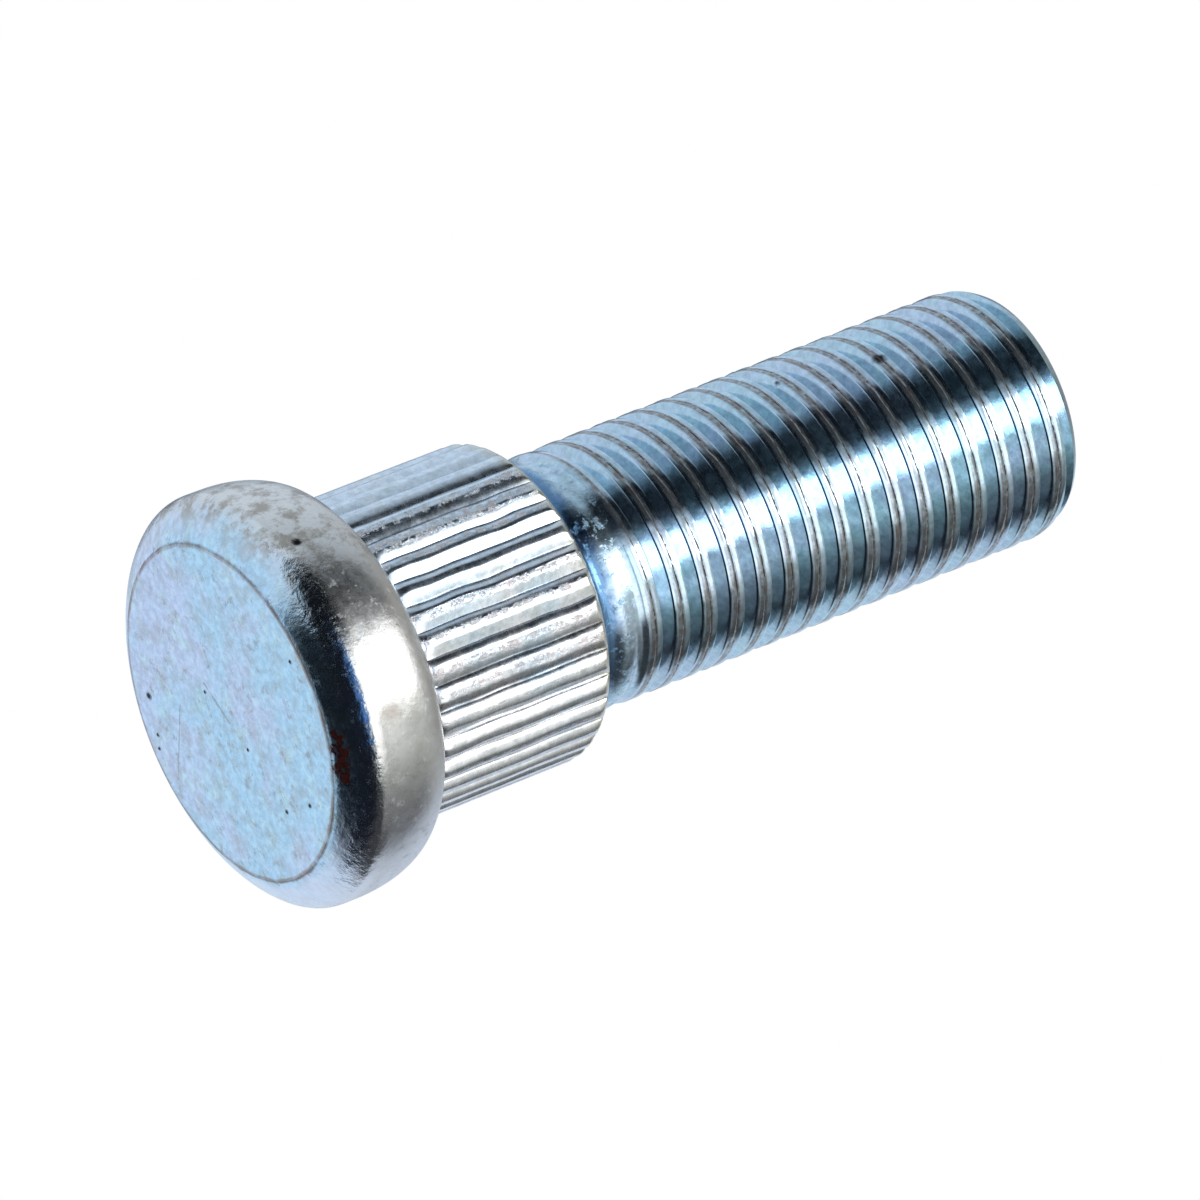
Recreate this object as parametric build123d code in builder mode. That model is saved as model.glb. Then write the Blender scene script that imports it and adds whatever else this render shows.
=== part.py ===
from build123d import *
import math
import os

# Wheel stud, forged in one piece: head down, axis on +Z, tip up. Sizes in millimetres.

# Thread: metric 12 x 1.5, right hand, rolled
thread_d = 11.85
thread_pitch = 1.5
thread_l = 23.6
thread_angle = 60
crest_share = 0.125
depth_share = 0.6134
groove_start_angle = 95

# Tip: a short taper that leads the nut on
tip_l = 1.6
tip_drop = 0.5

# Neck between the ribs and the thread, where the thread runs out
neck_l = 1.6
neck_drop = 0.33
runout_l = 1.5

# Ribs: the straight band that is pressed into the hub
rib_count = 38
rib_step = 1.5
rib_h = 0.45
rib_l = 9.9
rib_top_share = 0.26
rib_base_share = 0.92
rib_chamfer_h = 0.75
rib_chamfer_w = 0.5
first_rib_angle = 7.1

# Head: flat face, sloped shoulder, narrow rim and a long rounding to the seat
seat_w = 0.85
back_w = 1.225
back_h = 2.95
rim_h = 0.7
shoulder_w = 1.82
shoulder_h = 1.75

# How far a cutting shape reaches past the skin that it cuts
cut_margin = 0.1

# Radii that follow from the sizes above, from the axis outwards
thread_r = thread_d / 2
thread_depth = depth_share * thread_pitch
runout_r = thread_r - thread_depth - cut_margin
tip_r = thread_r - tip_drop
neck_r = thread_r - neck_drop
rib_r = thread_r + rib_step
rib_root_r = rib_r - rib_h
seat_r = rib_r + seat_w
head_r = seat_r + back_w
face_r = head_r - shoulder_w

# Heights above the flat face, from the head to the tip
rim_z = shoulder_h + rim_h
seat_z = rim_z + back_h
rib_end_z = seat_z + rib_l
neck_end_z = rib_end_z + neck_l
crest_z = neck_end_z + neck_drop
taper_z = crest_z + thread_l
tip_z = taper_z + tip_l
groove_z = neck_end_z - thread_pitch
groove_turns = math.ceil((tip_z - groove_z) / thread_pitch) + 1

# The thread groove's V: half its width at the mouth, at the crests and at the root
flank_slope = math.tan(math.radians(thread_angle / 2))
crest_half = thread_pitch * (1 - crest_share) / 2
mouth_half = crest_half + cut_margin * flank_slope
root_half = crest_half - thread_depth * flank_slope

# A rib's section: half its width at the crest, and at its sides run on past root and crest
rib_spacing = 2 * math.pi * rib_root_r / rib_count
rib_top_half = rib_spacing * rib_top_share / 2
rib_base_half = rib_spacing * rib_base_share / 2
rib_slope = (rib_base_half - rib_top_half) / rib_h
rib_over_half = rib_top_half - rib_slope * cut_margin
rib_foot_half = rib_base_half + rib_slope * cut_margin

# One turn of the thread groove
with BuildPart() as groove_turn:
    with BuildLine() as turn_path:
        Helix(thread_pitch, thread_pitch, thread_r)
    with BuildSketch(Plane(origin=(thread_r, 0, 0), x_dir=(1, 0, 0), z_dir=(0, 1, 0))):
        with BuildLine():
            Polyline(
                (cut_margin, -mouth_half),
                (cut_margin, mouth_half),
                (-thread_depth, root_half),
                (-thread_depth, -root_half),
                close=True,
            )
        make_face()
    sweep(path=turn_path.line, is_frenet=True)

# The ribbed band: straight ribs on a round core, with a lead chamfer round their ends
with BuildPart() as ribbed_band:
    with BuildSketch(Plane.XY.offset(seat_z)):
        Circle(rib_root_r)
        with PolarLocations(0, rib_count, start_angle=first_rib_angle):
            Polygon(
                (rib_root_r - cut_margin, -rib_foot_half),
                (rib_r + cut_margin, -rib_over_half),
                (rib_r + cut_margin, rib_over_half),
                (rib_root_r - cut_margin, rib_foot_half),
                align=None,
            )
    extrude(amount=rib_l)
    with BuildSketch(Plane.XZ):
        with BuildLine():
            Polyline(
                (0, seat_z),
                (rib_r, seat_z),
                (rib_r, rib_end_z - rib_chamfer_h),
                (rib_r - rib_chamfer_w, rib_end_z),
                (0, rib_end_z),
                close=True,
            )
        make_face()
    revolve(axis=Axis.Z, mode=Mode.INTERSECT)

with BuildPart() as wheel_stud:
    # Thread: a round blank with its lead taper, less the groove, one turn after another
    with BuildSketch(Plane.XZ):
        with BuildLine():
            Polyline(
                (0, 0),
                (neck_r, 0),
                (neck_r, neck_end_z),
                (thread_r, crest_z),
                (thread_r, taper_z),
                (tip_r, tip_z),
                (0, tip_z),
                close=True,
            )
        make_face()
    revolve(axis=Axis.Z)
    for turn in range(groove_turns):
        with Locations((0, 0, groove_z + turn * thread_pitch)):
            add(groove_turn.part, rotation=(0, 0, groove_start_angle), mode=Mode.SUBTRACT)

    # Neck: its cone fills the foot of the groove's first turns, so that the thread runs out
    with BuildSketch(Plane.XZ):
        with BuildLine():
            Polyline(
                (0, 0),
                (neck_r, 0),
                (neck_r, neck_end_z),
                (runout_r, neck_end_z + runout_l),
                (0, neck_end_z + runout_l),
                close=True,
            )
        make_face()
    revolve(axis=Axis.Z)

    add(ribbed_band.part)

    # Head: flat face, shoulder, rim and the rounding up to the seat
    with BuildSketch(Plane.XZ):
        with BuildLine():
            Polyline((0, seat_z), (0, 0), (face_r, 0))
            Bezier((face_r, 0), (head_r, shoulder_h / 2), (head_r, shoulder_h))
            Line((head_r, shoulder_h), (head_r, rim_z))
            EllipticalCenterArc((seat_r, rim_z), back_w, back_h, start_angle=0, arc_size=90)
            Line((seat_r, seat_z), (0, seat_z))
        make_face()
    revolve(axis=Axis.Z)

os.makedirs("parts", exist_ok=True)
wheel_stud.part.label = "wheel_stud"
export_step(wheel_stud.part, "parts/wheel_stud.step")
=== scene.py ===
import math

import bpy
import numpy as np
from mathutils import Matrix, Vector, noise


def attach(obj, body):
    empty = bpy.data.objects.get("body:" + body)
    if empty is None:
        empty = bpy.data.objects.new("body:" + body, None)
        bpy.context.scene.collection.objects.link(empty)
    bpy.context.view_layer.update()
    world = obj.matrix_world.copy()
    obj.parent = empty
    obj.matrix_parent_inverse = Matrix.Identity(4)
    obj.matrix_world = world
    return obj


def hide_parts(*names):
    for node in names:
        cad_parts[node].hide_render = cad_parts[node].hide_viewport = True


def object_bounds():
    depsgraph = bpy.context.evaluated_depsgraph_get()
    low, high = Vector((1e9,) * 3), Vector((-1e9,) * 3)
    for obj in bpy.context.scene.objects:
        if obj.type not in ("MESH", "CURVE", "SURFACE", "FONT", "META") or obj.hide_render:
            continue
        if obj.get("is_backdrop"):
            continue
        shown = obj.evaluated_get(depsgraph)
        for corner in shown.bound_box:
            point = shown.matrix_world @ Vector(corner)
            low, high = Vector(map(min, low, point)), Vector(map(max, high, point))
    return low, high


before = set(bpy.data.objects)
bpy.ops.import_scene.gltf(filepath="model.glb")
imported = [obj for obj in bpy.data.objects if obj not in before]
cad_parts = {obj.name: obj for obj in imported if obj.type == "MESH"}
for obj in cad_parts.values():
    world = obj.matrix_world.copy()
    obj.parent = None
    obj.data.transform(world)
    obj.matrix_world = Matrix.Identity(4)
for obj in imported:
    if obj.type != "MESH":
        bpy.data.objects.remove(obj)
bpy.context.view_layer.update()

# Head
# The forged end of the bar: a flat face, a sloped shoulder, a narrow rim and a long rounding to the
# seat. The steel is zinc plated and passivated blue, pitted and stained in places, dull on the rim.
MILLIMETRE = 0.001
head_columns = 228
face_r = 7.68
head_r = 9.5
shoulder_h = 1.75
rim_z = 2.45
seat_r = 8.275
seat_z = 5.4
first_column = math.radians(7.1)
face_rings = (0.5, 1.4, 2.8, 4.2, 5.4, 6.4, 7.1, 7.45, 7.6, 7.65)
shoulder_start = 0.008
curve_steps = 16
rim_steps = 3
# The forging's unevenness: height, length of its bumps, and how far off in the noise it is picked
forge_waves = ((0.016, 2.6, 0), (0.008, 1.1, 40))
forge_sink = 0.02
true_below_z = 0.05
FACE_CHART, SIDE_CHART, TIP_CHART = 0, 1, 2
HEAD_FINISH, RIB_FINISH, THREAD_FINISH = 0, 1, 2

points = []
worn = []
skin_length = []
faces = []
face_finish = []
face_chart = []


def uneven(x, y, z, size):
    """Smooth unevenness between about -1 and 1, with bumps of the given size in millimetres."""
    return noise.noise(Vector((x / size, y / size, z / size)))


def add_ring(radius, height, angles, along, wear=0.0):
    """One ring of points round the stud's axis. Any value may be one number or one for each angle."""
    first = len(points)
    radius = np.broadcast_to(radius, angles.shape)
    height = np.broadcast_to(height, angles.shape)
    points.extend(zip(radius * np.cos(angles), radius * np.sin(angles), height))
    worn.extend(np.broadcast_to(wear, angles.shape))
    skin_length.extend(np.broadcast_to(along, angles.shape))
    return list(range(first, len(points)))


def add_face(corners, finish, chart):
    """One face of the skin, with the finish and the part of the map that it belongs to."""
    faces.append(corners)
    face_finish.append(finish)
    face_chart.append(chart)


def join_rings(inner, outer, finish, chart):
    """Skins the gap between two rings, whose counts are equal or whole multiples."""
    wide = max(1, len(outer) // len(inner))
    narrow = max(1, len(inner) // len(outer))
    for step in range(min(len(inner), len(outer))):
        near = [inner[(step * narrow + k) % len(inner)] for k in range(narrow + 1)]
        far = [outer[(step * wide + k) % len(outer)] for k in range(wide + 1)]
        add_face(near + far[::-1], finish, chart)


def forged_lift(r, z, angle):
    """How far the forged skin stands off the head's true form, which the face keeps."""
    if z <= true_below_z:
        return 0.0
    x, y = r * math.cos(angle), r * math.sin(angle)
    waves = sum(height * uneven(x + pick, y, z, size) for height, size, pick in forge_waves)
    return (waves - forge_sink) * min(1.0, z)


head_angles = first_column + np.arange(head_columns) * 2 * math.pi / head_columns
head_profile = [(r, 0.0) for r in face_rings]
for step in range(curve_steps + 1):
    t = shoulder_start + (1 - shoulder_start) * step / curve_steps
    head_profile.append((face_r * (1 - t) ** 2 + head_r * (2 * t * (1 - t) + t * t), shoulder_h * t))
for step in range(1, rim_steps + 1):
    head_profile.append((head_r, shoulder_h + (rim_z - shoulder_h) * step / rim_steps))
for step in range(1, curve_steps + 1):
    sweep = math.pi / 2 * step / curve_steps
    back_r = seat_r + (head_r - seat_r) * math.cos(sweep)
    head_profile.append((back_r, rim_z + (seat_z - rim_z) * math.sin(sweep)))

face_centre = add_ring(0.0, 0.0, np.zeros(1), 0.0)[0]
ring = None
along = 0.0
for row, (r, z) in enumerate(head_profile):
    if row:
        along += math.hypot(r - head_profile[row - 1][0], z - head_profile[row - 1][1])
    lift = np.array([forged_lift(r, z, angle) for angle in head_angles])
    grown = add_ring(r + lift, z, head_angles, along)
    if ring is None:
        for step in range(head_columns):
            add_face([face_centre, grown[(step + 1) % head_columns], grown[step]], HEAD_FINISH, FACE_CHART)
    else:
        join_rings(ring, grown, HEAD_FINISH, FACE_CHART if z == 0.0 else SIDE_CHART)
    ring = grown
head_edge = ring

finishes = []


def set_sockets(tree, made, sockets):
    """Sets a node's sockets to values, or joins them to other nodes' outputs."""
    for key, value in dict(sockets).items():
        if isinstance(value, bpy.types.NodeSocket):
            tree.links.new(value, made.inputs[key])
        else:
            made.inputs[key].default_value = value


def place_node(tree, kind, sockets=(), **settings):
    """Adds a shader node with its settings and sockets."""
    made = tree.nodes.new("ShaderNode" + kind)
    for name, value in settings.items():
        setattr(made, name, value)
    set_sockets(tree, made, sockets)
    return made


def blend_colour(tree, share, under, over):
    """Lays one colour over another by a share."""
    return place_node(tree, "Mix", {0: share, 6: under, 7: over}, data_type="RGBA").outputs[2]


def rise(tree, value, low, high, least=0.0, most=1.0):
    """A smooth step from least to most while the value goes from low to high."""
    made = place_node(
        tree, "MapRange", {0: value, 1: low, 2: high, 3: least, 4: most}, interpolation_type="SMOOTHSTEP"
    )
    return made.outputs[0]


def fall(tree, value, low, high, most=1.0, least=0.0):
    """A smooth step down from most to least while the value goes from low to high."""
    return rise(tree, value, low, high, most, least)


def reckon(tree, operation, first, second=0.0):
    """A plain reckoning with two values."""
    return place_node(tree, "Math", {0: first, 1: second}, operation=operation).outputs[0]


def plus(tree, first, second):
    """Two values added."""
    return reckon(tree, "ADD", first, second)


def minus(tree, first, second):
    """One value less another."""
    return reckon(tree, "SUBTRACT", first, second)


def times(tree, first, second):
    """Two values multiplied, such as two masks that both have to hold."""
    return reckon(tree, "MULTIPLY", first, second)


def larger(tree, first, second):
    """The larger of two values, such as either of two masks."""
    return reckon(tree, "MAXIMUM", first, second)


def reckon_place(tree, operation, first, second):
    """A plain reckoning with two places, that gives a place."""
    return place_node(tree, "VectorMath", {0: first, 1: second}, operation=operation).outputs[0]


def scaled_place(tree, place, scale):
    """A place drawn nearer to the origin or farther from it."""
    return place_node(tree, "VectorMath", {0: place, "Scale": scale}, operation="SCALE").outputs[0]


def measure_place(tree, operation, first, second=(0.0, 0.0, 0.0)):
    """A plain reckoning with one or two places, that gives a value."""
    return place_node(tree, "VectorMath", {0: first, 1: second}, operation=operation).outputs["Value"]


def mottle(tree, where, scale, detail=3.0, roughness=0.55):
    """Cloudy variation over the surface, with about that many clouds to the millimetre."""
    made = place_node(
        tree, "TexNoise", {"Vector": where, "Scale": scale, "Detail": detail, "Roughness": roughness}
    )
    return made.outputs[0]


def new_group(name, takes, gives):
    """An empty node group with named inputs and outputs."""
    tree = bpy.data.node_groups.new(name, "ShaderNodeTree")
    for label, kind, value in takes:
        socket = tree.interface.new_socket(label, in_out="INPUT", socket_type="NodeSocket" + kind)
        if value is not None:
            socket.default_value = value
    for label, kind in gives:
        tree.interface.new_socket(label, in_out="OUTPUT", socket_type="NodeSocket" + kind)
    return tree, tree.nodes.new("NodeGroupInput").outputs, tree.nodes.new("NodeGroupOutput").inputs


def use_group(tree, group, sockets):
    """Places a node group in a material and gives its outputs."""
    made = tree.nodes.new("ShaderNodeGroup")
    made.node_tree = group
    set_sockets(tree, made, sockets)
    return made.outputs


# The blue film of the passivation: broad patches of two thicknesses, greenish flecks, uneven shade
film, takes, gives = new_group(
    "passivation film",
    [
        ("Place", "Vector", None),
        ("Thin", "Color", (0.57, 0.83, 1.0, 1)),
        ("Thick", "Color", (0.70, 0.80, 1.0, 1)),
        ("Greenish", "Color", (0.68, 0.90, 0.93, 1)),
        ("Patches", "Float", 0.2),
        ("Lean", "Float", 0.0),
    ],
    [("Colour", "Color")],
)
fleck_offset = (31.0, 17.0, 5.0)
flecks_per_mm, shades_per_mm = 0.9, 2.6
patch_range, fleck_range, shade_range = (0.42, 0.64), (0.5, 0.68), (0.3, 0.7)
fleck_most = 0.7
darkest, lightest = 0.81, 1.09
broad = plus(film, mottle(film, takes["Place"], takes["Patches"]), takes["Lean"])
colour = blend_colour(film, rise(film, broad, *patch_range), takes["Thin"], takes["Thick"])
shifted = reckon_place(film, "ADD", takes["Place"], fleck_offset)
fleck = mottle(film, shifted, flecks_per_mm, detail=5.0, roughness=0.65)
colour = blend_colour(film, rise(film, fleck, *fleck_range, most=fleck_most), colour, takes["Greenish"])
shade = mottle(film, shifted, shades_per_mm, detail=5.0, roughness=0.65)
shade = rise(film, shade, *shade_range, darkest, lightest)
shaded = place_node(film, "Mix", {0: 1.0, 6: colour, 7: shade}, data_type="RGBA", blend_type="MULTIPLY")
film.links.new(shaded.outputs[2], gives["Colour"])

# The plating's grain: a fine and a coarse relief, and roughness in clouds between two values
grain, takes, gives = new_group(
    "plating grain",
    [("Place", "Vector", None), ("Low", "Float", 0.14), ("High", "Float", 0.24)],
    [("Height", "Float"), ("Roughness", "Float")],
)
fine_per_mm, coarse_per_mm, clouds_per_mm = 7.0, 1.3, 2.1
fine_share = 0.25
cloud_low, cloud_high = 0.3, 0.7
fine = mottle(grain, takes["Place"], fine_per_mm)
coarse = mottle(grain, takes["Place"], coarse_per_mm, detail=2.0)
grain.links.new(plus(grain, times(grain, fine, fine_share), coarse), gives["Height"])
cloud = mottle(grain, takes["Place"], clouds_per_mm, detail=4.0, roughness=0.65)
spread = place_node(
    grain, "MapRange", {0: cloud, 1: cloud_low, 2: cloud_high, 3: takes["Low"], 4: takes["High"]}
)
grain.links.new(spread.outputs[0], gives["Roughness"])

# Ragged smudges, strewn all over
smudge, takes, gives = new_group(
    "plating smudges",
    [
        ("Place", "Vector", None),
        ("Per millimetre", "Float", 1.6),
        ("From", "Float", 0.62),
        ("Soft", "Float", 0.07),
    ],
    [("Mask", "Float")],
)
smudge_offset = (5.0, 61.0, 23.0)
shifted = reckon_place(smudge, "ADD", takes["Place"], smudge_offset)
shape = mottle(smudge, shifted, takes["Per millimetre"], detail=6.0, roughness=0.72)
edge = plus(smudge, takes["From"], takes["Soft"])
smudge.links.new(rise(smudge, shape, takes["From"], edge), gives["Mask"])

# One ragged spot or pit
pit, takes, gives = new_group(
    "plating pit",
    [
        ("Place", "Vector", None),
        ("Middle", "Vector", None),
        ("Size", "Float", 0.3),
        ("Ragged", "Float", 0.8),
    ],
    [("Mask", "Float")],
)
pit_core, pit_edge = 0.7, 1.5
clouds_per_size = 1.1
away = measure_place(pit, "DISTANCE", takes["Place"], takes["Middle"])
clouds = mottle(pit, takes["Place"], reckon(pit, "DIVIDE", clouds_per_size, takes["Size"]), detail=4.0)
wander = times(pit, clouds, times(pit, takes["Size"], takes["Ragged"]))
core, edge = times(pit, takes["Size"], pit_core), times(pit, takes["Size"], pit_edge)
pit.links.new(fall(pit, plus(pit, away, wander), core, edge), gives["Mask"])

# Dirt and fine relief: dirt is no metal and dulls the plating, relief tilts its surface
soiling, takes, gives = new_group(
    "dirt and relief",
    [
        ("Dirt", "Float", 0.0),
        ("Roughness", "Float", 0.2),
        ("Height", "Float", 0.0),
        ("Depth in millimetres", "Float", 0.012),
    ],
    [("Metal", "Float"), ("Roughness", "Float"), ("Normal", "Vector")],
)
dirt_dulling = 0.35
depth = times(soiling, takes["Depth in millimetres"], MILLIMETRE)
tilted = place_node(soiling, "Bump", {"Height": takes["Height"], "Distance": depth, "Strength": 1.0})
dulled = plus(soiling, takes["Roughness"], times(soiling, takes["Dirt"], dirt_dulling))
soiling.links.new(minus(soiling, 1.0, takes["Dirt"]), gives["Metal"])
soiling.links.new(dulled, gives["Roughness"])
soiling.links.new(tilted.outputs[0], gives["Normal"])


def new_finish(name):
    """A new material for the stud, with its shader and the place on the stud in millimetres."""
    made = bpy.data.materials.new(name)
    made.use_nodes = True
    tree = made.node_tree
    tree.nodes.clear()
    shader = place_node(tree, "BsdfPrincipled")
    place_node(tree, "OutputMaterial", {"Surface": shader.outputs[0]})
    place = scaled_place(tree, place_node(tree, "TexCoord").outputs["Object"], 1 / MILLIMETRE)
    finishes.append(made)
    return tree, shader, place


def smudges(tree, place, per_mm, start, soft):
    """Smudges on the plating: 1 in a smudge and 0 beside it."""
    sockets = {"Place": place, "Per millimetre": per_mm, "From": start, "Soft": soft}
    return use_group(tree, smudge, sockets)["Mask"]


def spot(tree, place, middle, size, ragged=0.8):
    """A small ragged spot on the plating: 1 in its middle and 0 beyond its edge."""
    sockets = {"Place": place, "Middle": middle, "Size": size, "Ragged": ragged}
    return use_group(tree, pit, sockets)["Mask"]


scratch_core, scratch_edge = 1.2, 2.2
scratch_wander = 5
scratch_clouds_per_mm, middling_cloud = 2.0, 0.4


def scratch(tree, place, start, end, width):
    """A ragged scratch from one place to another: 1 along its line and 0 beside it."""
    course = Vector(end) - Vector(start)
    offset = reckon_place(tree, "SUBTRACT", place, start)
    dot = measure_place(tree, "DOT_PRODUCT", offset, course)
    share = place_node(tree, "Math", {0: dot, 1: course.length_squared}, operation="DIVIDE", use_clamp=True)
    nearest = scaled_place(tree, tuple(course), share.outputs[0])
    away = measure_place(tree, "DISTANCE", offset, nearest)
    clouds = mottle(tree, place, scratch_clouds_per_mm, detail=4.0)
    wander = times(tree, minus(tree, clouds, middling_cloud), width * scratch_wander)
    return fall(tree, plus(tree, away, wander), width * scratch_core, width * scratch_edge)


def dress(tree, shader, colour, dirt, roughness, height, depth):
    """Joins a finish to its shader, with its dirt and a fine relief of that depth in millimetres."""
    sockets = {"Dirt": dirt, "Roughness": roughness, "Height": height, "Depth in millimetres": depth}
    soiled = use_group(tree, soiling, sockets)
    tree.links.new(colour, shader.inputs["Base Color"])
    tree.links.new(soiled["Metal"], shader.inputs["Metallic"])
    tree.links.new(soiled["Roughness"], shader.inputs["Roughness"])
    tree.links.new(soiled["Normal"], shader.inputs["Normal"])


crease_brown = (0.24, 0.18, 0.16, 1)
soil_grey = (0.17, 0.16, 0.15, 1)
rust_red = (0.075, 0.012, 0.008, 1)
spot_brown = (0.34, 0.29, 0.26, 1)
pit_black = (0.012, 0.012, 0.014, 1)
rim_zinc = (0.77, 0.76, 0.735, 1)
# Grey of the painted shade on the lower rim
painted_rim_shade = (0.46, 0.45, 0.435, 1)
beige_stain = (0.43, 0.385, 0.33, 1)
lilac_film = (0.86, 0.86, 0.96, 1)
film_lean = (-0.014, 0.012, 0.0)
# Where each colour or dullness comes or goes on the head, in millimetres
rim_zinc_z, rim_zinc_ragged = (0.6, 2.3), 1.2
upper_x, upper_z = (-6.5, -2.0), (0.2, 1.2)
lower_x, lower_z = (4.5, 7.5), (0.02, 0.3)
painted_shade_rim_x, painted_shade_rim_z = (-0.5, 3.5), (0.9, 2.0)
face_z = (0.05, 0.3)
crease_off, crease_z, crease_ragged = (0.04, 0.17), (0.2, 0.5), 0.16
dull_rim_z, fleck_z = (1.3, 2.1), (0.3, 1.0)
slope_foot_z, slope_top_z = (0.3, 0.7), (1.3, 1.7)
# How strong each colour, dirt and dullness gets
stain_least, stain_most = 0.35, 0.95
lilac_most, painted_rim_shade_most = 0.6, 0.42
smear_most, scratch_most = 0.45, 0.5
crease_most, crease_dirt = 0.8, 0.5
rust_dirt, brown_most = 0.5, 0.65
rim_dulling, fleck_dulling = 0.15, 0.2
# The scratches and the rust: start, end, width
long_scratch = ((-1.13, 3.87, 0.0), (1.87, 6.57, 0.0), 0.035)
short_scratch = ((-1.6, 1.1, 0.0), (0.4, 0.3, 0.0), 0.05)
rust_run = ((2.7, -7.75, 0.3), (4.2, -7.0, 0.25), 0.26)
# The brown spot and the pits: middle, size
brown_spot = ((2.51, -9.16, 2.39), 0.7)
shoulder_pit = ((-5.73, -7.58, 2.0), 0.3)
face_pits = [
    ((-2.01, 6.21, 0.0), 0.24), ((-0.28, 6.76, 0.0), 0.13), ((0.3, 7.1, 0.0), 0.12),
    ((-1.07, -6.74, 0.0), 0.13), ((4.87, -1.58, 0.0), 0.14), ((4.98, -3.7, 0.0), 0.15),
    ((1.77, -0.37, 0.0), 0.12), ((-1.25, 1.32, 0.0), 0.12),
]
pit_depth, stain_height, speckle_height = 3.0, 0.6, 3.3
head_relief = 0.012

tree, shader, place = new_finish("zinc on the head")
at_x, at_y, at_z = place_node(tree, "SeparateXYZ", {0: place}).outputs
lean = measure_place(tree, "DOT_PRODUCT", place, film_lean)
colour = use_group(tree, film, {"Place": place, "Lean": lean})["Colour"]
relief = use_group(tree, grain, {"Place": place, "Low": 0.11, "High": 0.20})

# Pale zinc from the rim up, a beige stain on the upper side, lilac film on the lower side, and painted
# shade that darkens the lower rim
rim_cloud = times(tree, mottle(tree, place, 0.8, detail=5.0, roughness=0.65), rim_zinc_ragged)
colour = blend_colour(tree, rise(tree, plus(tree, at_z, rim_cloud), *rim_zinc_z), colour, rim_zinc)
upper_side = times(tree, fall(tree, at_x, *upper_x), rise(tree, at_z, *upper_z))
stain = smudges(tree, place, 1.0, start=0.44, soft=0.18)
stain = times(tree, stain, rise(tree, upper_side, 0.0, 1.0, stain_least, stain_most))
colour = blend_colour(tree, stain, colour, beige_stain)
lower_side = times(tree, rise(tree, at_x, *lower_x), rise(tree, at_z, *lower_z))
colour = blend_colour(tree, times(tree, lower_side, lilac_most), colour, lilac_film)
# Painted shade: a grey darkening laid over the lower part of the rim
painted_lower_rim_shade = rise(tree, at_x, *painted_shade_rim_x, most=painted_rim_shade_most)
painted_lower_rim_shade = times(tree, painted_lower_rim_shade, rise(tree, at_z, *painted_shade_rim_z))
colour = blend_colour(tree, painted_lower_rim_shade, colour, painted_rim_shade)

# Smears and scratches on the face, and a brown crease round its edge
smears = smudges(tree, place, 1.5, start=0.555, soft=0.1)
smears = times(tree, smears, fall(tree, at_z, *face_z, most=smear_most))
lines = plus(tree, scratch(tree, place, *long_scratch), scratch(tree, place, *short_scratch))
dirt = larger(tree, smears, times(tree, lines, scratch_most))
colour = blend_colour(tree, dirt, colour, soil_grey)
flat_place = place_node(tree, "CombineXYZ", {0: at_x, 1: at_y}).outputs[0]
from_axis = measure_place(tree, "LENGTH", flat_place)
wander = times(tree, minus(tree, mottle(tree, place, 1.6, detail=4.0), 0.5), crease_ragged)
off_edge = reckon(tree, "ABSOLUTE", minus(tree, plus(tree, from_axis, wander), face_r))
crease = times(tree, fall(tree, off_edge, *crease_off), fall(tree, at_z, *crease_z))
patchy = rise(tree, mottle(tree, place, 0.7, detail=4.0, roughness=0.7), 0.3, 0.6, least=0.4)
crease = times(tree, crease, patchy)
colour = blend_colour(tree, times(tree, crease, crease_most), colour, crease_brown)
dirt = larger(tree, dirt, times(tree, crease, crease_dirt))

# Rust on the shoulder, a brown spot on the rim, and pits
rust = smudges(tree, place, 1.7, start=0.34, soft=0.24)
rust = times(tree, rust, scratch(tree, place, *rust_run))
colour = blend_colour(tree, rise(tree, rust, 0.0, 0.5), colour, rust_red)
dirt = larger(tree, dirt, rise(tree, rust, 0.1, 0.9, most=rust_dirt))
brown = spot(tree, place, *brown_spot, ragged=1.0)
colour = blend_colour(tree, times(tree, brown, brown_most), colour, spot_brown)
holes = spot(tree, place, *shoulder_pit)
for face_pit in face_pits:
    holes = larger(tree, holes, spot(tree, place, *face_pit))
colour = blend_colour(tree, holes, colour, pit_black)

# The rim is duller, and the shoulder's slope is speckled
dull = plus(tree, relief["Roughness"], rise(tree, at_z, *dull_rim_z, most=rim_dulling))
flecks = smudges(tree, place, 2.4, start=0.56, soft=0.08)
dull = plus(tree, dull, times(tree, flecks, rise(tree, at_z, *fleck_z, most=fleck_dulling)))
slope = times(tree, rise(tree, at_z, *slope_foot_z), fall(tree, at_z, *slope_top_z))
speckle = times(tree, mottle(tree, place, 2.2, detail=4.0, roughness=0.6), slope)
deep = minus(tree, relief["Height"], times(tree, holes, pit_depth))
deep = plus(tree, deep, times(tree, stain, stain_height))
deep = plus(tree, deep, times(tree, speckle, speckle_height))
dress(tree, shader, colour, dirt, dull, deep, head_relief)

# Ribbed band
# Straight ribs rolled into the steel bar under the head, which bite into the hub when the stud is
# pressed in. They start rounded and end in a chamfer; the dies left some shallow, shifted or rubbed.
rib_count = 38
rib_r = 7.425
rib_root_r = 6.975
rib_start_z = 5.92
rib_start_round = 0.65
rib_chamfer_z = 14.55
rib_chamfer_w = 0.5
rib_chamfer_curve = 3
rib_fade_z = 14.9
rib_fade_past = 0.05
rib_end_z = 15.3
foot_radius = 0.38
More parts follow.
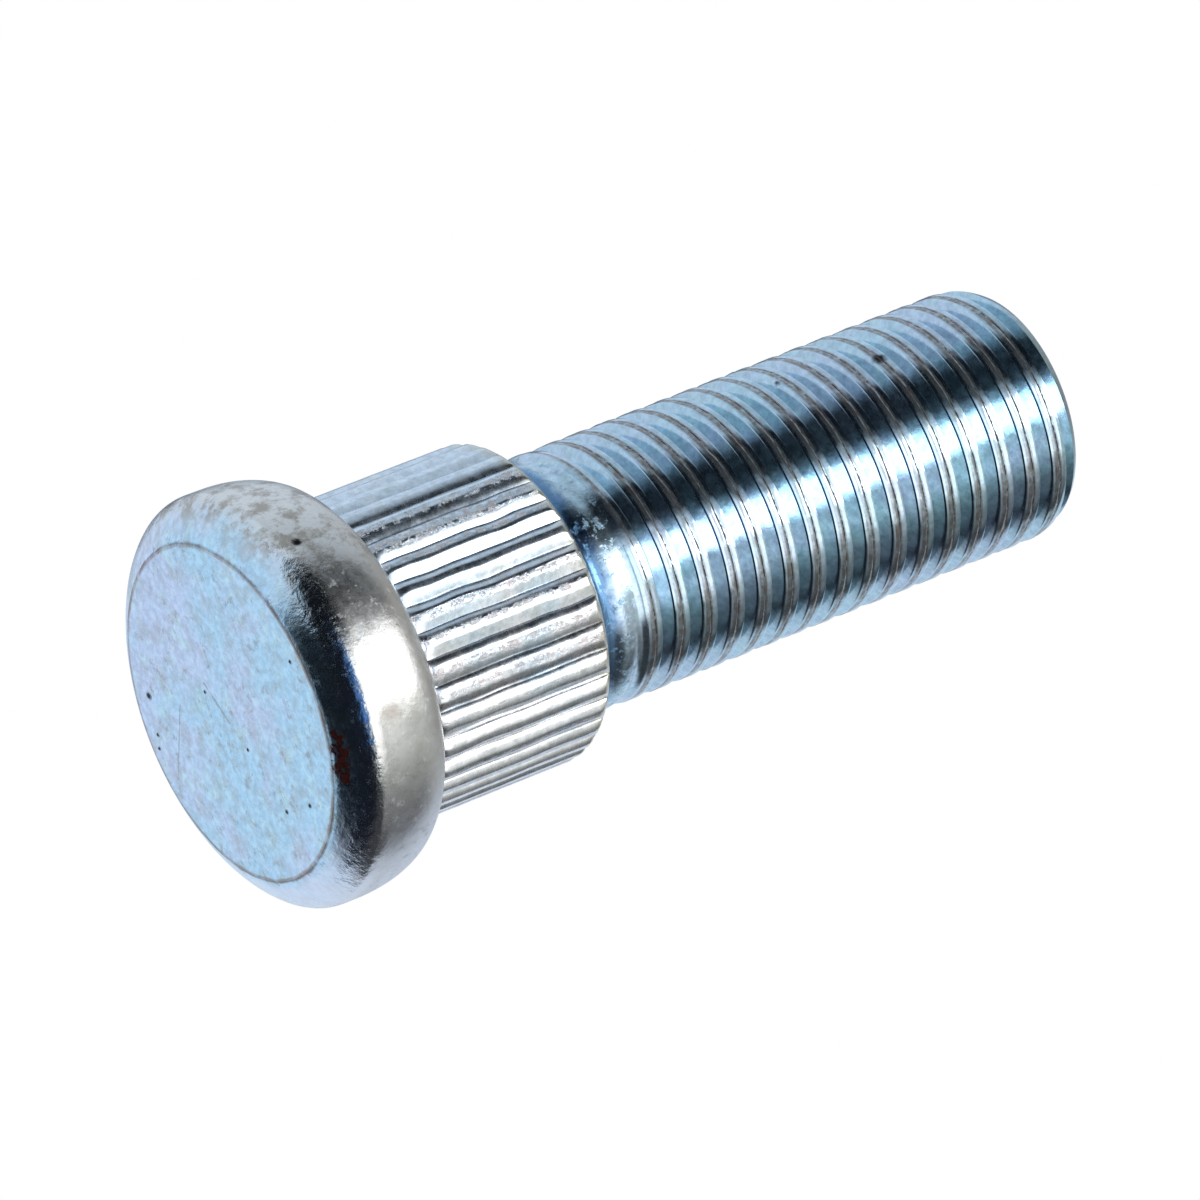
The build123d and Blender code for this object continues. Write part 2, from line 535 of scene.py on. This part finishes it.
# From one crest to the next: share of the way, drop from the crest
rib_section = [
    (0.0, 0.0), (0.07, -0.005), (0.13, -0.017), (0.19, -0.04), (0.40, -0.175), (0.47, -0.22),
    (0.54, -0.265), (0.57, -0.225), (0.60, -0.175), (0.81, -0.04), (0.87, -0.017), (0.93, -0.005),
]
rib_rows = [5.4, 5.46, 5.54, 5.64, 5.78, 5.92, 5.95, 6.0, 6.07, 6.17, 6.3, 6.47]
rib_rows += [6.7 + 0.3 * step for step in range(26)]
rib_rows += [14.45, 14.65, 14.8, 14.92, 15.02, 15.1, 15.17, 15.24, 15.3]
# Ribs that are pressed shallower or deeper, that stand off their place in degrees, or that are rubbed
rib_depths = {
    20: 0.8, 21: 0.7, 22: 0.7, 23: 0.95, 24: 1.1, 25: 1.1, 26: 1.1, 27: 1.1,
    28: 0.9, 29: 0.7, 30: 0.85, 31: 1.05, 32: 1.2, 33: 0.9, 34: 0.95,
}
shifted_ribs = {
    27: 0.3, 28: 0.6, 29: 1.0, 30: 1.2, 31: 2.0, 32: 3.0, 33: 3.8, 34: 4.2, 35: 3.4, 36: 2.2, 37: 1.0,
}
rubbed_ribs = {23: 1.0, 24: 0.8, 27: 0.8, 29: 1.0, 30: 0.45, 31: 0.1, 32: 0.1, 33: 0.3}
# Each unevenness along a rib: height, length, and the step from rib to rib and the pick in the noise
rib_wobble = (math.radians(0.9), 1.9, 4.1, 2)
rib_tilt = (0.06, 5.0, 5.7, 9)
rib_dents = (0.02, 2.0, 7.3, 0)
rib_nicks = (0.022, 0.6, 3.1, 5)
rub_spread = (0.3, 1, 2.7, 3)
rub_usual = 0.25
crush_least, crush_rubbed = 0.008, 0.012
rub_reach = 0.4
valley_from, valley_to = 0.3, 0.7


def ease(value, low, high):
    """A smooth step from 0 to 1 while the value goes from low to high."""
    share = min(1.0, max(0.0, (value - low) / (high - low)))
    return share * share * (3 - 2 * share)


def along_rib(rib, z, kind):
    """One kind of unevenness at a height on a rib, of its own on every rib."""
    height, size, step, pick = kind
    return height * uneven(rib * step, pick, z, size)


rib_angles = []
for rib in range(rib_count):
    shift = math.radians(shifted_ribs.get(rib, 0.0))
    next_shift = math.radians(shifted_ribs.get(rib + 1, 0.0))
    for share, drop in rib_section:
        column_shift = shift + (next_shift - shift) * share
        rib_angles.append(first_column + (rib + share) * 2 * math.pi / rib_count + column_shift)
rib_angles = np.array(rib_angles)
rubbing = [rubbed_ribs.get(rib, rub_usual + along_rib(rib, 0, rub_spread)) for rib in range(rib_count)]

ring = head_edge
for row, z in enumerate(rib_rows):
    along += (seat_r - rib_r) if row == 0 else z - rib_rows[row - 1]
    start = min(1.0, max(0.0, (z - rib_start_z) / rib_start_round))
    fade = max(0.0, z - rib_fade_z) / (rib_end_z + rib_fade_past - rib_fade_z)
    full = math.sqrt(1 - (1 - start) ** 2) * math.sqrt(1 - fade ** 2)
    foot = max(0.0, seat_z + foot_radius - z)
    foot_r = rib_root_r + foot_radius - math.sqrt(max(0.0, foot_radius ** 2 - foot ** 2))
    cut = max(0.0, z - rib_chamfer_z) / (rib_end_z - rib_chamfer_z)
    chamfer_r = rib_r - rib_chamfer_w * cut ** rib_chamfer_curve
    wobble = [along_rib(rib, z, rib_wobble) for rib in range(rib_count)]
    radius, sway, wear = [], [], []
    for rib in range(rib_count):
        after = (rib + 1) % rib_count
        dents = along_rib(rib, z, rib_dents) + along_rib(rib, z, rib_nicks) + crush_rubbed
        crushed_r = rib_r - max(0.0, crush_least + rubbing[rib] * dents)
        tilted = along_rib(rib, z, rib_tilt)
        depth, next_depth = rib_depths.get(rib, 1.0), rib_depths.get(after, 1.0)
        # A share below a half is one rib's far side, above it the next rib's near side
        for share, drop in rib_section:
            side = share if share < 0.5 else share - 1
            drop *= depth + (next_depth - depth) * ease(share, valley_from, valley_to)
            drop *= 1 + tilted * math.copysign(1, side)
            r = min(rib_r + drop, crushed_r)
            r = max(rib_root_r + (r - rib_root_r) * full, foot_r)
            radius.append(min(r, chamfer_r))
            sway.append(wobble[rib] + (wobble[after] - wobble[rib]) * share)
            wear.append(rubbing[rib] * max(0.0, 1 - abs(side) / rub_reach))
    grown = add_ring(np.array(radius), z, rib_angles + np.array(sway), along, wear=np.array(wear))
    join_rings(ring, grown, HEAD_FINISH if row == 0 else RIB_FINISH, SIDE_CHART)
    ring = grown
rib_edge = ring


def mark_of(tree, label):
    """A mark that the mesh carries, such as how worn each point is."""
    return place_node(tree, "Attribute", attribute_name=label).outputs["Fac"]


rubbed_pink = (0.40, 0.31, 0.29, 1)
yellow_film = (0.74, 0.68, 0.50, 1)
rib_film_lean = 0.03
rib_end_range, yellow_most = (14.6, 15.7), 0.5
worn_range, rub_most, rub_dirt = (0.15, 0.6), 0.6, 0.3
rib_relief = 0.012

tree, shader, place = new_finish("zinc on the ribs")
at_x, at_y, at_z = place_node(tree, "SeparateXYZ", {0: place}).outputs
colour = use_group(
    tree,
    film,
    {
        "Place": place,
        "Thin": (0.70, 0.79, 0.87, 1),
        "Thick": (0.88, 0.87, 0.89, 1),
        "Greenish": (0.76, 0.80, 0.80, 1),
        "Patches": 0.3,
        "Lean": times(tree, at_x, rib_film_lean),
    },
)["Colour"]
relief = use_group(tree, grain, {"Place": place, "Low": 0.20, "High": 0.32})
end_share = rise(tree, plus(tree, at_z, mottle(tree, place, 0.7)), *rib_end_range, most=yellow_most)
colour = blend_colour(tree, end_share, colour, yellow_film)
rubs = smudges(tree, place, 2.6, start=0.47, soft=0.14)
rubs = times(tree, rubs, rise(tree, mark_of(tree, "worn"), *worn_range))
colour = blend_colour(tree, times(tree, rubs, rub_most), colour, rubbed_pink)
deep = minus(tree, relief["Height"], rubs)
dress(tree, shader, colour, times(tree, rubs, rub_dirt), relief["Roughness"], deep, rib_relief)

# Neck and thread
# The steel bar's neck runs out into a right-hand thread, rolled between dies: each crest closes up to
# two rounded lips with a ragged dirty seam between them. A short taper at the tip leads the nut on.
thread_columns = 152
thread_r = 5.925
thread_pitch = 1.5
crest_z = 16.22
crest_angle = math.radians(95)
neck_r = 5.72
neck_rise_z, neck_top_z = 16.0, 18.0
groove_start_z, groove_full_z = 17.3, 19.8
soil_start_z, soil_full_z = 17.7, 18.7
fillet_r = 1.3
fillet_h = 0.5
ridge_h = 0.07
taper_z = 40.83
tip_z = 42.43
tip_r = 5.425
tip_round = 0.15
lead_curve = 2.5
# One turn from root to root: reach along the axis, drop from the crest, share of soil
thread_section = [
    (-0.725, -0.7025, 0.0), (-0.55, -0.399, 0.0), (-0.395, -0.131, 0.0), (-0.385, -0.114, 0.0),
    (-0.335, -0.073, 0.0), (-0.32, -0.066, 0.0), (-0.25, -0.042, 0.12), (-0.19, -0.026, 0.3),
    (-0.13, -0.013, 0.35), (-0.08, -0.006, 0.35), (-0.03, -0.010, 0.5), (0.015, -0.030, 0.85),
    (0.045, -0.045, 1.0), (0.09, -0.046, 0.5), (0.15, -0.034, 0.1), (0.22, -0.018, 0.0),
    (0.29, -0.005, 0.0), (0.36, -0.008, 0.0), (0.375, -0.012, 0.0), (0.385, -0.03, 0.0),
    (0.55, -0.316, 0.0),
]
# The crest's raggedness: height, length, pick in the noise, and how fast it changes across the crest
crest_rags = ((0.02, 0.9, 0, 3), (0.02, 0.4, 7, 6))
crest_from, crest_to = -0.3, 0.32
rag_sink = 0.012
seam_end = 0.05
tip_lip_rags = 0.35
seam_wander, seam_wander_mm, seam_pick = 0.035, 1.2, 3
seam_soil = 0.4
# Rings of the tip's end: share of its edge's radius, drop below the end
tip_rings = ((0.992, 0.085), (0.975, 0.025), (0.95, 0.0), (0.7, 0.0), (0.4, 0.0), (0.12, 0.0))
rows_per_turn = len(thread_section)
first_turn, last_turn = -2, 21
neck_margin, tip_margin = 0.02, 0.01
flank_stretch = 1.6
thread_angles = first_column + np.arange(thread_columns) * 2 * math.pi / thread_columns


def thread_radius(z, reach, drop, way):
    """The skin's radius at a height, where the thread's section gives the drop from the crest."""
    if crest_from < reach < crest_to:
        rags = -rag_sink
        for height, size, pick, change in crest_rags:
            rags += height * uneven(way, pick, reach * change, size)
        drop = min(0.0, drop + rags * (1.0 if reach < seam_end else tip_lip_rags))
    ridge = ridge_h * (math.cos(2 * math.pi * reach / thread_pitch) - 1)
    r = neck_r + (thread_r - neck_r) * ease(z, neck_rise_z, neck_top_z)
    r += ridge + (drop - ridge) * ease(z, groove_start_z, groove_full_z)
    return r + fillet_h * max(0.0, 1 - (z - rib_end_z) / fillet_r) ** 2


def lead_radius(z):
    """The radius of the tip's rounded lead taper at a height."""
    share = (z - taper_z) / (tip_z - taper_z)
    return thread_r + (tip_r - thread_r) * math.copysign(abs(share) ** lead_curve, share)


tip_edge_z = tip_z - tip_round
along += rib_r - neck_r
neck_ring = add_ring(neck_r + fillet_h, rib_end_z, thread_angles, along)
join_rings(rib_edge, neck_ring, THREAD_FINISH, SIDE_CHART)
grid = {}
tip_ring = [None] * thread_columns
for column, angle in enumerate(thread_angles):
    heights, radii, soil = [], [], []
    for turn in range(first_turn, last_turn):
        way = (angle + 2 * math.pi * turn) * thread_r
        for reach, drop, share in thread_section:
            reach += seam_wander * uneven(way, seam_pick, 0, seam_wander_mm) if share > seam_soil else 0.0
            z = crest_z + thread_pitch * ((angle - crest_angle) / (2 * math.pi) + turn) + reach
            heights.append(z)
            radii.append(thread_radius(z, reach, drop, way))
            soil.append(share * ease(z, soil_start_z, soil_full_z))
    # Where the section crosses the lead taper, one of its points moves onto the crossing
    over = [r - lead_radius(z) for r, z in zip(radii, heights)]
    for row in range(len(over) - 1):
        if over[row] * over[row + 1] < 0:
            meet = over[row] / (over[row] - over[row + 1])
            meet_z = heights[row] + meet * (heights[row + 1] - heights[row])
            moved = row if over[row] > 0 else row + 1
            heights[moved] = meet_z
            soil[moved] = 0.0
    for row, z in enumerate(heights):
        line = first_turn * rows_per_turn + row
        if z <= rib_end_z + neck_margin:
            grid[line, column] = neck_ring[column]
        elif tip_ring[column] is not None:
            grid[line, column] = tip_ring[column]
        else:
            last = z >= tip_edge_z - tip_margin
            z = tip_edge_z if last else z
            r = min(radii[row], lead_radius(z))
            soiled = 0.0 if over[row] > 0 else soil[row]
            way_up = along + (z - rib_end_z) * flank_stretch
            grid[line, column] = add_ring(r, z, np.array([angle]), way_up, soiled)[0]
            if last:
                tip_ring[column] = grid[line, column]
# At the last column each row meets the next turn's row, so the faces stop before the last turns
for column in range(thread_columns):
    ahead = (column + 1) % thread_columns
    shift = rows_per_turn if ahead == 0 else 0
    for line in range(first_turn * rows_per_turn, (last_turn - 2) * rows_per_turn):
        corners = [
            grid[line, column],
            grid[line + shift, ahead],
            grid[line + 1 + shift, ahead],
            grid[line + 1, column],
        ]
        corners = [point for k, point in enumerate(corners) if point != corners[k - 1]]
        if len(corners) > 2:
            add_face(corners, THREAD_FINISH, SIDE_CHART)

tip_edge_r = np.array([math.hypot(points[point][0], points[point][1]) for point in tip_ring])
ring = tip_ring
for share, drop in tip_rings:
    grown = add_ring(tip_edge_r * share, tip_z - drop, thread_angles, along)
    join_rings(ring, grown, THREAD_FINISH, TIP_CHART)
    ring = grown
tip_centre = add_ring(0.0, tip_z, np.zeros(1), along)[0]
for step in range(thread_columns):
    add_face([ring[step], ring[(step + 1) % thread_columns], tip_centre], THREAD_FINISH, TIP_CHART)

neck_blue = (0.11, 0.24, 0.44, 1)
fleck_blue = (0.16, 0.38, 0.55, 1)
lip_stain_and_shade_brown = (0.22, 0.20, 0.19, 1)
seam_brown = (0.03, 0.025, 0.024, 1)
# Where each colour or dullness comes or goes on the neck and thread, in millimetres, and its most
neck_blue_z, neck_foot_z, neck_blue_most = (16.9, 17.6), (15.3, 15.9), 0.9
blue_fleck_z, blue_fleck_most = (18.0, 18.8), 0.8
dull_neck_z, neck_dulling = (17.8, 19.0), 0.08
# The lips' brown is partly real stain and partly painted shade: less of it at the front, more at the sides
lip_shade_sides_x, lip_front_lit_share, lip_side_shaded_share = (1.2, 3.4), 0.5, 0.95
# The shares of soil over which the lips and the seam come
lip_soil_range, seam_soil_range = (0.05, 0.3), (0.48, 0.8)
lip_dirt, seam_dirt = 0.08, 0.6
large_thread_pit = ((-4.09, -4.28, 34.74), 0.42)
small_thread_pit = ((-4.78, -3.5, 29.73), 0.28)
fleck_depth = 2.4
thread_relief = 0.006

tree, shader, place = new_finish("zinc on the thread")
at_x, at_y, at_z = place_node(tree, "SeparateXYZ", {0: place}).outputs
colour = use_group(
    tree,
    film,
    {
        "Place": place,
        "Thin": (0.52, 0.70, 0.80, 1),
        "Thick": (0.56, 0.68, 0.81, 1),
        "Greenish": (0.56, 0.73, 0.77, 1),
        "Patches": 0.3,
    },
)["Colour"]
relief = use_group(tree, grain, {"Place": place, "Low": 0.09, "High": 0.2})

# A deep blue neck, with flecks that reach up to the first turns
collar = plus(tree, at_z, mottle(tree, place, 1.4, detail=4.0, roughness=0.7))
blue_share = fall(tree, collar, *neck_blue_z, most=neck_blue_most)
blue_share = times(tree, blue_share, rise(tree, at_z, *neck_foot_z, least=0.2))
colour = blend_colour(tree, blue_share, colour, neck_blue)
flecks = smudges(tree, place, 2.6, start=0.53, soft=0.2)
flecks = times(tree, flecks, fall(tree, collar, *blue_fleck_z, most=blue_fleck_most))
colour = blend_colour(tree, flecks, colour, fleck_blue)

# Brown stain on the lips, laid heavier at the sides as painted shade so that the lips facing the front stay
# light, and the dark seam between them
soil_mark = mark_of(tree, "worn")
lips = rise(tree, mottle(tree, place, 3.0, detail=5.0, roughness=0.7), 0.3, 0.6, least=0.35)
lips = times(tree, lips, rise(tree, soil_mark, *lip_soil_range))
# Painted shade: more brown on the lips towards the sides than at the front
painted_side_shade = rise(tree, reckon(tree, "ABSOLUTE", at_x), *lip_shade_sides_x, lip_front_lit_share, lip_side_shaded_share)
colour = blend_colour(tree, times(tree, lips, painted_side_shade), colour, lip_stain_and_shade_brown)
ragged = mottle(tree, place, 2.4, detail=5.0, roughness=0.75)
ragged = rise(tree, ragged, 0.3, 0.62, least=0.25, most=1.15)
seam = rise(tree, times(tree, soil_mark, ragged), *seam_soil_range)
colour = blend_colour(tree, seam, colour, seam_brown)
dirt = larger(tree, times(tree, lips, lip_dirt), times(tree, seam, seam_dirt))

# Pits, and a duller neck
holes = larger(tree, spot(tree, place, *large_thread_pit), spot(tree, place, *small_thread_pit))
colour = blend_colour(tree, holes, colour, pit_black)
deep = minus(tree, relief["Height"], times(tree, holes, pit_depth))
deep = minus(tree, deep, times(tree, flecks, fleck_depth))
dull = plus(tree, relief["Roughness"], fall(tree, collar, *dull_neck_z, most=neck_dulling))
dress(tree, shader, colour, dirt, dull, deep, thread_relief)

# The whole stud
# Head, ribs and thread are one skin, as the real stud is one steel forging. Its map lays the side
# unrolled, with the head's face and the tip's end as discs beside it.
sharp_over = math.radians(42)
skin = bpy.data.meshes.new("wheel_stud_skin")
skin.from_pydata((np.array(points) * MILLIMETRE).tolist(), [], faces)
for finish in finishes:
    skin.materials.append(finish)
skin.polygons.foreach_set("material_index", face_finish)
mark = skin.attributes.new("worn", "FLOAT", "POINT")
mark.data.foreach_set("value", np.array(worn, np.float32))
skin.shade_smooth()
skin.set_sharp_from_angle(angle=sharp_over)

map_mm = 64.0
map_margin = 0.005
side_wide, side_high = 0.71, 0.98
disc_middle = {FACE_CHART: (0.86, 0.16), TIP_CHART: (0.86, 0.46)}
longest = max(skin_length)
stud_map = skin.uv_layers.new(name="OFBake")
map_points = np.zeros((len(skin.loops), 2))
for poly in skin.polygons:
    chart = face_chart[poly.index]
    corners = [points[v] for v in poly.vertices]
    if chart == SIDE_CHART:
        turns = [(math.atan2(y, x) - first_column) / (2 * math.pi) % 1.0 for x, y, z in corners]
        if max(turns) - min(turns) > 0.5:
            turns = [t + 1 if t < 0.5 else t for t in turns]
        for loop, v, t in zip(poly.loop_indices, poly.vertices, turns):
            way_up = skin_length[v] / longest
            map_points[loop] = (map_margin + side_wide * t, map_margin + side_high * way_up)
    else:
        across, up = disc_middle[chart]
        for loop, (x, y, z) in zip(poly.loop_indices, corners):
            map_points[loop] = (across + x / map_mm, up + y / map_mm)
stud_map.data.foreach_set("uv", map_points.ravel())

wheel_stud = bpy.data.objects.new("wheel_stud_plated", skin)
bpy.context.scene.collection.objects.link(wheel_stud)
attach(wheel_stud, "root")
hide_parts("wheel_stud")

# Floor
# A plain studio floor in pale matt paint that the stud stands on, head down. Seen from below it lets
# the view through, because the photograph's angle looks up at the head's face.
floor_half = 3.0
floor_lift = 0.00001
floor_pale = (0.86, 0.86, 0.86, 1)
floor_mesh = bpy.data.meshes.new("studio_floor")
floor_corners = [(x * floor_half, y * floor_half, 0) for x, y in ((-1, -1), (1, -1), (1, 1), (-1, 1))]
floor_mesh.from_pydata(floor_corners, [], [(0, 1, 2, 3)])
floor = bpy.data.objects.new("studio_floor", floor_mesh)
bpy.context.scene.collection.objects.link(floor)
floor.location.z = floor_lift
floor.visible_glossy = False
floor.visible_shadow = False
paint = bpy.data.materials.new("pale floor paint")
paint.use_nodes = True
tree = paint.node_tree
tree.nodes.clear()
matt = place_node(tree, "BsdfDiffuse", {"Color": floor_pale})
clear = place_node(tree, "BsdfTransparent")
behind = place_node(tree, "NewGeometry").outputs["Backfacing"]
either = place_node(tree, "MixShader", {0: behind, 1: matt.outputs[0], 2: clear.outputs[0]})
place_node(tree, "OutputMaterial", {"Surface": either.outputs[0]})
floor_mesh.materials.append(paint)
floor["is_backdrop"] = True

# Studio light
# A pale room with a key softbox in front, a white card below it, a black curtain where the camera
# stands, dark cloth underfoot and a shaded wall on the right, all of them mirrored by the plating.
world = bpy.data.worlds.new("studio")
bpy.context.scene.world = world
world.use_nodes = True
world.cycles.sampling_method = "NONE"
tree = world.node_tree
tree.nodes.clear()
towards = place_node(tree, "TexCoord").outputs["Generated"]
to_x, to_y, to_z = place_node(tree, "SeparateXYZ", {0: towards}).outputs
bearing = reckon(tree, "DEGREES", reckon(tree, "ARCTAN2", to_x, times(tree, to_y, -1.0)))
height = reckon(tree, "DEGREES", reckon(tree, "ARCSINE", to_z))


def between(value, low, high, soft):
    """1 where a value lies between two others, and 0 beyond them, with soft edges."""
    above = rise(tree, value, low - soft, low + soft)
    return times(tree, above, fall(tree, value, high - soft, high + soft))


pale_wall = (0.69, 0.79, 0.91, 1)
ceiling = (0.34, 0.34, 0.33, 1)
ceiling_from, ceiling_full = 35, 75
soft_air = (0.9, 0.9, 0.9, 1)
white = (1, 1, 1, 1)
all_round, underfoot = 400, -200
# Each panel in degrees: bearings of its two sides, heights of its two ends, softness of sides and ends
panels = [
    ("right wall", (0.64, 0.68, 0.66, 1), 20, 112, underfoot, 60, 4, 12),
    ("shade on the right wall", (0.19, 0.20, 0.20, 1), 66, 112, underfoot, 50, 18, 10),
    ("dark corner", (0.06, 0.064, 0.07, 1), 96, 111, underfoot, 46, 6, 10),
    ("dark skirting", (0.05, 0.052, 0.056, 1), 58, 126, underfoot, 4, 6, 8),
    ("dark cloth underfoot", (0.010, 0.012, 0.018, 1), -70, 136, underfoot, -26, 8, 6),
    ("blue strip", (0.10, 0.25, 0.60, 1), -8, 40, -42, -24, 6, 6),
    ("white card", (1.6, 1.63, 1.67, 1), -4, 52, -20, 24, 8, 6),
    ("grey stand at the back", (0.22, 0.27, 0.34, 1), -172, -152, 10, 60, 4, 6),
    ("left wall", (0.52, 0.60, 0.68, 1), -96, -60, 0, 60, 12, 6),
    ("black curtain", (0.008, 0.010, 0.014, 1), -61, -13, underfoot, 64, 9, 14),
    ("dark floor straight below", (0.010, 0.012, 0.016, 1), -all_round, all_round, underfoot, -70, 4, 4),
]
room = blend_colour(tree, rise(tree, height, ceiling_from, ceiling_full), pale_wall, ceiling)
for name, colour, left, right, low, high, side_soft, end_soft in panels:
    panel = times(tree, between(bearing, left, right, side_soft), between(height, low, high, end_soft))
    panel.node.label = name
    room = blend_colour(tree, panel, room, colour)
path = place_node(tree, "LightPath").outputs
shown = blend_colour(tree, path["Is Glossy Ray"], soft_air, room)
shown = blend_colour(tree, path["Is Camera Ray"], shown, white)
air = place_node(tree, "Background", {"Color": shown, "Strength": 1.0})
place_node(tree, "OutputWorld", {"Surface": air.outputs[0]})

key_wide, key_tall = 0.22, 0.40
key_bearing, key_rise = math.radians(8.2), math.radians(34)
key_far, key_aim_z = 0.5, 0.02
key = bpy.data.lights.new("key_softbox", "AREA")
key.shape = "RECTANGLE"
key.size = key_wide
key.size_y = key_tall
key.energy = 0.95
softbox = bpy.data.objects.new("key_softbox", key)
bpy.context.scene.collection.objects.link(softbox)
towards_key = Vector(
    (
        math.sin(key_bearing) * math.cos(key_rise),
        -math.cos(key_bearing) * math.cos(key_rise),
        math.sin(key_rise),
    )
)
softbox.location = towards_key * key_far + Vector((0, 0, key_aim_z))
softbox.rotation_euler = towards_key.to_track_quat("Z", "Y").to_euler()
softbox.visible_camera = False

# Camera
# The photograph's view: a long lens half a metre off, which looks up at the head's face from below
# and is rolled so that the tip points up and to the right. Its place was fitted to the photograph.
photo_px = 1200
focal_px = 12237.49
tilt, roll = 1.0408, 0.3765
far_mm, aim_z = 537.607, 18.0
aim_u_px, aim_v_px = 564.170, 581.536
camera = bpy.data.cameras.new("photo_view")
camera.sensor_width = 36.0
camera.lens = focal_px / photo_px * camera.sensor_width
camera.clip_start = 0.01
camera.clip_end = 20.0
away = Vector((0, math.sin(tilt), math.cos(tilt)))
right = Vector((math.sin(roll), -math.cos(tilt) * math.cos(roll), math.sin(tilt) * math.cos(roll)))
up = Vector((-math.cos(roll), -math.cos(tilt) * math.sin(roll), math.sin(tilt) * math.sin(roll)))
across = (aim_u_px - photo_px / 2) / focal_px * far_mm
down = (aim_v_px - photo_px / 2) / focal_px * far_mm
stand = (Vector((0, 0, aim_z)) - across * right + down * up - far_mm * away) * MILLIMETRE
viewer = bpy.data.objects.new("photo_view", camera)
bpy.context.scene.collection.objects.link(viewer)
viewer.matrix_world = Matrix.Translation(stand) @ Matrix((right, up, -away)).transposed().to_4x4()
bpy.context.scene.camera = viewer
bpy.context.scene.view_settings.view_transform = "Standard"

low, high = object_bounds()
